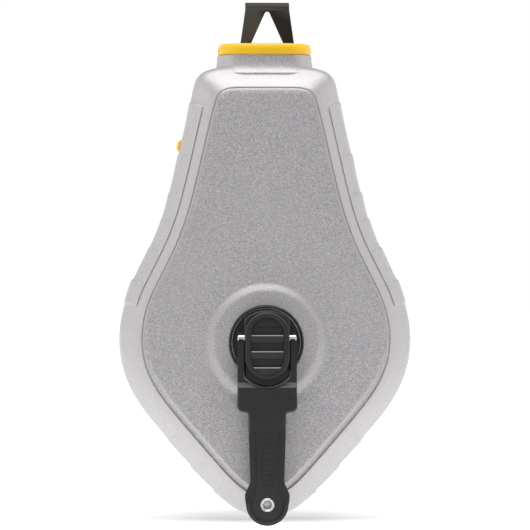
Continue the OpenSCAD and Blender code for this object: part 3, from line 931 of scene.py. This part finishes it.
# ------------------------------------------------------------------ thumb slide
sl_ = round_prism("thumb_slide", stadium(7.9, -4.9, 3.2), -49.7, -52.2, 0.2, 0.75, 0.3)
win = round_prism("winc", stadium(5.75, -5.6, 3.4), -50.5, -53.5, 0.02, 0.02, 0.3)
boolean(sl_, win)
prof = [(9.9, -51.4)]
for zt in (8.69, 2.98, -2.73, -8.44):
    if zt < 8:
        prof += [(zt + 0.12, -50.72), (zt + 0.06, -51.8), (zt - 0.02, -51.95), (zt - 0.38, -52.16), (zt - 0.8, -52.18)]
    prof += [(zt - 2.7, -51.75), (zt - 2.86, -51.5), (zt - 2.92, -50.8)] if zt > -8 else [(zt - 3.9, -51.8)]
v, f = [], []
ring = [(z, y) for z, y in prof] + [(-12.34, -50.45), (9.9, -50.45)]
teeth = mesh_obj("teeth", [(x, y, z) for x in (-6.5, 6.5) for z, y in ring],
                 [list(range(len(ring))), [len(ring) + i for i in range(len(ring))][::-1]]
                 + [(i, (i + 1) % len(ring), len(ring) + (i + 1) % len(ring), len(ring) + i) for i in range(len(ring))])
limits = round_prism("lim", stadium(5.66, -5.6, 3.4), -50.0, -54, 0.01, 0.01, 0.3)
boolean(teeth, limits, "INTERSECT")
boolean(sl_, teeth, "UNION")
foot = box("foot", (-2, -50.2, -8), (2, -46.7, -5.2))
boolean(sl_, foot, "UNION")
finish(sl_, M_RIBS, "thumb_slide", ["clutch_slide"], 35, 0.07, 2)

# ------------------------------------------------------------------ crank arm
side = [(10.5, PIN_Z, 1.3), (10.5, -15.0, 0.0), (10.72, -24.0, 2.0), (6.75, -24.7, 1.0), (6.5, -33.0, 4.0), (6.0, -49.3, 2.0),
        (7.95, -53.7, 1.4), (7.85, -55.6, 1.2)]
ends = [(7.5 * math.cos(a), KNOB_Z + 7.5 * math.sin(a), 0.0) for a in np.radians(np.linspace(-12, -168, 49))]
left = [(-x, z, r) for x, z, r in side[::-1]]
arm_out = fillet(side + ends + left, 8)
arm = round_prism("crank_arm_body", arm_out, -46.0, -52.2, 0.45, 0.9, 0.3, 6)
crotch = fillet([(8.4, 12, 0), (8.4, -11.6, 0)] + [(11 * math.cos(t), -5.3 + 11 * math.sin(t), 0) for t in np.radians(np.linspace(-42, -138, 33))]
                + [(-8.4, -11.6, 0), (-8.4, 12, 0)], 2)
boolean(arm, round_prism("crotch", crotch, -40, -60, 0.02, 0.02, 0.3))
boolean(arm, mesh_obj("heel", [(-20, -40, -45), (-20, -46.0, -45.2), (-20, -49.3, -48.6), (-20, -49.3, -80), (-20, -40, -80),
                               (20, -40, -45), (20, -46.0, -45.2), (20, -49.3, -48.6), (20, -49.3, -80), (20, -40, -80)],
                      [(0, 1, 2, 3, 4), (9, 8, 7, 6, 5), (0, 5, 6, 1), (1, 6, 7, 2), (2, 7, 8, 3), (3, 8, 9, 4), (4, 9, 5, 0)]))
# the head steps down to the fork, with a sloped shoulder
boolean(arm, mesh_obj("step", [(x, y, z) for x in (-20, 20) for y, z in [(-50.6, 6), (-50.6, -13.9), (-52.4, -15.9), (-54, -15.9), (-54, 6)]],
                      [(0, 1, 2, 3, 4), (9, 8, 7, 6, 5), (0, 5, 6, 1), (1, 6, 7, 2), (2, 7, 8, 3), (3, 8, 9, 4), (4, 9, 5, 0)]))
pocket = round_prism("pocket", fillet([(-4.4, -21, 1), (-4.4, -44, 1), (4.4, -44, 1), (4.4, -21, 1)], 6), -40, -49.4, 0.02, 0.6, 0.4)
boolean(arm, pocket)
# shank relief: lower flutes each side of a flat rail, and a ring around the knob's eye
outer = [(3.9, -30.8, 0.4), (7.6, -33.2, 0.0), (9.5, -33.5, 0.0), (9.5, -70, 0.0), (-9.5, -70, 0.0), (-9.5, -33.5, 0.0), (-7.6, -33.2, 0.0), (-3.9, -30.8, 0.4)]
drop = round_prism("drop", fillet(outer, 6), -51.3, -54, 0.02, 0.02, 0.3)
railp = [(3.9, -29.5, 0.0), (3.9, -31.5, 0.0), (3.7, -49.6, 2.0), (4.6, -52.9, 0.8)]
disc_a = [(5.2 * math.cos(t), KNOB_Z + 5.2 * math.sin(t), 0.0) for t in np.radians(np.linspace(20, -200, 61))]
railp = fillet(railp + disc_a + [(-x, z, r) for x, z, r in railp[::-1]], 6)
keep = round_prism("keep", railp, -50.5, -55, 0.02, 0.02, 0.3)
boolean(drop, keep)
boolean(arm, drop)
boolean(arm, box("face", (-9.5, -54, -80), (9.5, -51.95, -31.0)))
lip_r, lip_w = 6.5, 0.46
band = [((lip_r + lip_w) * math.cos(t), KNOB_Z + (lip_r + lip_w) * math.sin(t)) for t in np.radians(np.linspace(5, -185, 61))]
e1 = (lip_r * math.cos(math.radians(-185)), KNOB_Z + lip_r * math.sin(math.radians(-185)))
e0 = (lip_r * math.cos(math.radians(5)), KNOB_Z + lip_r * math.sin(math.radians(5)))
band += [(e1[0] + lip_w * math.cos(t), e1[1] + lip_w * math.sin(t)) for t in np.radians(np.linspace(175, -5, 12)[1:-1])]
band += [((lip_r - lip_w) * math.cos(t), KNOB_Z + (lip_r - lip_w) * math.sin(t)) for t in np.radians(np.linspace(-185, 5, 61))]
band += [(e0[0] + lip_w * math.cos(t), e0[1] + lip_w * math.sin(t)) for t in np.radians(np.linspace(185, 5, 12)[1:-1])]
lip = round_prism("lip", band, -51.0, -51.95, 0.02, 0.3, 0.12, 4)
boolean(arm, lip, "UNION")
boolean(arm, cyl("rv", 1.5, -40, -55, 0, KNOB_Z, 48))
for s in (-1, 1):
    a, b = (8.46, 10.4) if s > 0 else (-10.4, -8.46)
    ear = lathe("ear", [(0, a), (2.1, a), (2.25, a + 0.15), (2.3, a + 0.35), (2.3, b - 0.35), (2.25, b - 0.15), (2.1, b), (0, b)],
                axis="X", at=(0, PIN_Y, PIN_Z), n=64)
    boolean(arm, ear, "UNION")
    boolean(arm, lathe("eh", [(0, a - 1), (1.3, a - 1), (1.3, b + 1), (0, b + 1)], axis="X", at=(0, PIN_Y, PIN_Z), n=48))
    boolean(arm, box("es", (a - 1, -53, PIN_Z - 0.98), (b + 1, PIN_Y, PIN_Z + 4)))
# plain cross ribs down the rail
for k in range(11):
    z = -32.1 - 1.86 * k
    rib = round_prism("rib", fillet([(-1.7, z, 0.4), (3.0, z, 0.4), (3.0, z - 0.95, 0.4), (-1.7, z - 0.95, 0.4)], 4), -51.8, -52.2, 0.02, 0.2, 0.2, 3)
    boolean(arm, rib, "UNION")
spine = round_prism("spine", fillet([(-3.0, -31.8, 0.3), (-2.6, -31.8, 0.3), (-2.6, -51.4, 0.3), (-3.0, -51.4, 0.3)], 4), -51.8, -52.15, 0.02, 0.12, 0.2, 3)
boolean(arm, spine, "UNION")
finish(arm, M_SBLK, "crank", ["crank_arm"], 32, 0.12, 2)

# ------------------------------------------------------------------ rivet and knob
riv = lathe("knob_rivet_body", [(1.2, -40.9), (1.5, -40.9), (1.5, -41.3), (2.4, -41.32), (2.6, -41.5), (2.6, -41.95), (2.45, -42.1), (1.5, -42.1),
                                (1.5, -51.95), (2.2, -51.96), (2.36, -52.04), (2.4, -52.1), (2.34, -52.17), (2.2, -52.2), (2.0, -52.18),
                                (1.88, -52.08), (1.7, -51.85), (1.45, -51.6), (1.3, -51.2), (1.24, -50.6), (1.2, -47.5)], 0, KNOB_Z, 72, closed_prof=True)
finish(riv, M_STEEL, "crank", ["knob_rivet"], 45)
kn = lathe("crank_knob_body", [(2.9, -40.4), (5.4, -40.4), (6.0, -40.5), (6.5, -40.9), (6.85, -41.6), (7.0, -42.4), (7.0, -43.3), (6.75, -43.7),
                               (6.75, -44.3), (7.0, -44.7), (7.0, -45.3), (6.75, -45.7), (6.75, -46.3), (7.0, -46.7), (7.0, -48.2), (6.85, -48.7),
                               (6.5, -49.0), (1.56, -49.0), (1.56, -42.4), (2.9, -42.4)], 0, KNOB_Z, 120, closed_prof=True)
finish(kn, M_BLK, "knob", ["crank_knob"], 40)

# ------------------------------------------------------------------ case screws, one piece per casting set
sc = None
for x, z in SCREWS:
    s1 = lathe("screws", [(0, -0.5), (2.2, -0.45), (2.7, -0.75), (2.9, -1.2), (2.9, -2.2), (1.5, -2.21), (1.5, -29.3), (1.1, -30.0), (0, -30.0)], x, z, 48)
    boolean(s1, box("px", (x - 1.9, -1.7, z - 0.42), (x + 1.9, 1, z + 0.42)))
    boolean(s1, box("pz", (x - 0.42, -1.7, z - 1.9), (x + 0.42, 1, z + 1.9)))
    clean(s1)
    sc = s1 if sc is None else join(sc, s1)
sc.name = "case_screw_set"
finish(sc, M_STEEL, "case", ["case_screws"], 40)

# softened rims on the CAD pieces that stay
for nm, w in [("planet_carrier", 0.2), ("chalk_spool", 0.3), ("thrust_washer", 0.1), ("hub_clip", 0.08), ("clutch_dog", 0.2),
              ("ring_gear", 0.08), ("planet_gear_a", 0.06), ("planet_gear_b", 0.06), ("planet_gear_c", 0.06), ("sun_gear", 0.06),
              ("line_guide", 0.3), ("door_guide", 0.25), ("planet_pins", 0.15), ("spool_axle", 0.2), ("line_winding", 0.6)]:
    o = frame["nodes"][nm]
    b = o.modifiers.new("bevel", "BEVEL")
    b.width = w * MM
    b.segments = 2
    b.limit_method = "ANGLE"
    b.angle_limit = math.radians(40)


# ------------------------------------------------------------------ floor, light, camera
scene = bpy.context.scene
scene.view_settings.view_transform = "Standard"
scene.view_settings.look = "None"

fl = bpy.data.meshes.new("floor")
S = 6.0
fl.from_pydata([(-S, -S, -0.0667), (S, -S, -0.0667), (S, S, -0.0667), (-S, S, -0.0667)], [], [(0, 1, 2, 3)])
floor = bpy.data.objects.new("floor", fl)
scene.collection.objects.link(floor)
mf = Mat("floor_glow_painted_shadow")
fg = mf.noise(30.0, 3.0)
mf.to("Base Color", mf.ramp(fg, [(0.3, (0.80, 0.80, 0.80)), (0.7, (0.83, 0.83, 0.83))]))
mf.set(Roughness=0.9)
# The floor glows through its emission instead of only reflecting the lamps: bright to the sides, just in front of the
# object and far behind it, dimmed around and just behind the base to paint the object's shadow, and cut far in front so
# less light bounces up onto the case's underside.
sep = mf.node("ShaderNodeSeparateXYZ", Vector=mf.co)
front_fade = mf.range(sep.outputs["Y"], -0.09, -0.04, 0.1, 0.95)
away = mf.math("SQRT", mf.math("ADD", mf.math("MULTIPLY", sep.outputs["X"], sep.outputs["X"]),
                               mf.math("POWER", mf.math("SUBTRACT", sep.outputs["Y"], 0.025), 2.0)))
near = mf.range(sep.outputs["Y"], -0.02, 0.006, 0.75, 0.0)
far = mf.range(sep.outputs["Y"], 0.07, 0.5, 0.0, 0.6)
glow_with_painted_shadow = mf.math("ADD", mf.math("ADD", near, far), mf.range(away, 0.02, 0.09, 0.0, 0.5))
mf.to("Emission Strength", mf.math("MINIMUM", front_fade, glow_with_painted_shadow))
mf.b.inputs["Emission Color"].default_value = (1, 1, 1, 1)
fl.materials.append(mf.m)


def area(name, loc, target, size, power, color=(1, 1, 1), spread=180):
    li = bpy.data.lights.new(name, "AREA")
    li.shape = "RECTANGLE"
    li.size, li.size_y = size
    li.energy = power
    li.color = color
    li.spread = math.radians(spread)
    o = bpy.data.objects.new(name, li)
    o.location = loc
    o.rotation_euler = (Vector(target) - Vector(loc)).to_track_quat("-Z", "Y").to_euler()
    o.visible_camera = False
    scene.collection.objects.link(o)
    return o


area("top_soft", (0.0, -0.2, 1.0), (0, -0.03, 0.02), (1.3, 0.8), 12.0)
area("left_soft", (-1.0, -0.22, 0.25), (0, -0.02, 0.02), (0.7, 0.9), 2.7, (1.0, 0.975, 0.925))
area("right_soft", (1.0, -0.16, 0.25), (0, -0.02, 0.02), (0.7, 0.9), 2.5, (1.0, 0.975, 0.93))
area("back_left", (-0.8, 0.6, 0.3), (0, -0.02, 0.02), (0.7, 0.8), 1.8, (1.0, 0.985, 0.95))
area("back_right", (0.8, 0.6, 0.3), (0, -0.02, 0.02), (0.7, 0.8), 1.8, (1.0, 0.985, 0.95))
area("front_soft", (-0.3, -1.1, 0.95), (0, -0.02, 0.02), (1.1, 0.7), 2.3, (0.97, 0.975, 1.0))

w = bpy.data.worlds.new("studio")
scene.world = w
w.use_nodes = True
nt = w.node_tree
bg = nt.nodes["Background"]
bg.inputs["Color"].default_value = (1, 1, 1, 1)
bg.inputs["Strength"].default_value = 0.3
bg2 = nt.nodes.new("ShaderNodeBackground")
bg2.inputs["Color"].default_value = (1, 1, 1, 1)
bg2.inputs["Strength"].default_value = 1.0
mixw = nt.nodes.new("ShaderNodeMixShader")
lp = nt.nodes.new("ShaderNodeLightPath")
nt.links.new(lp.outputs["Is Camera Ray"], mixw.inputs[0])
nt.links.new(bg.outputs[0], mixw.inputs[1])
nt.links.new(bg2.outputs[0], mixw.inputs[2])
nt.links.new(mixw.outputs[0], nt.nodes["World Output"].inputs["Surface"])

cam = bpy.data.cameras.new("camera")
cam.sensor_width = 36.0
DIST = 1.2
AZ = math.radians(-2.1)
cam.lens = 36.0 * DIST / 0.19292
co = bpy.data.objects.new("camera", cam)
aim = Vector((0.0003, -0.02, 0.0278))
co.location = aim + Vector((math.sin(AZ), -math.cos(AZ), 0)) * DIST
co.rotation_euler = (aim - co.location).to_track_quat("-Z", "Y").to_euler()
scene.collection.objects.link(co)
scene.camera = co
cam.clip_end = 50
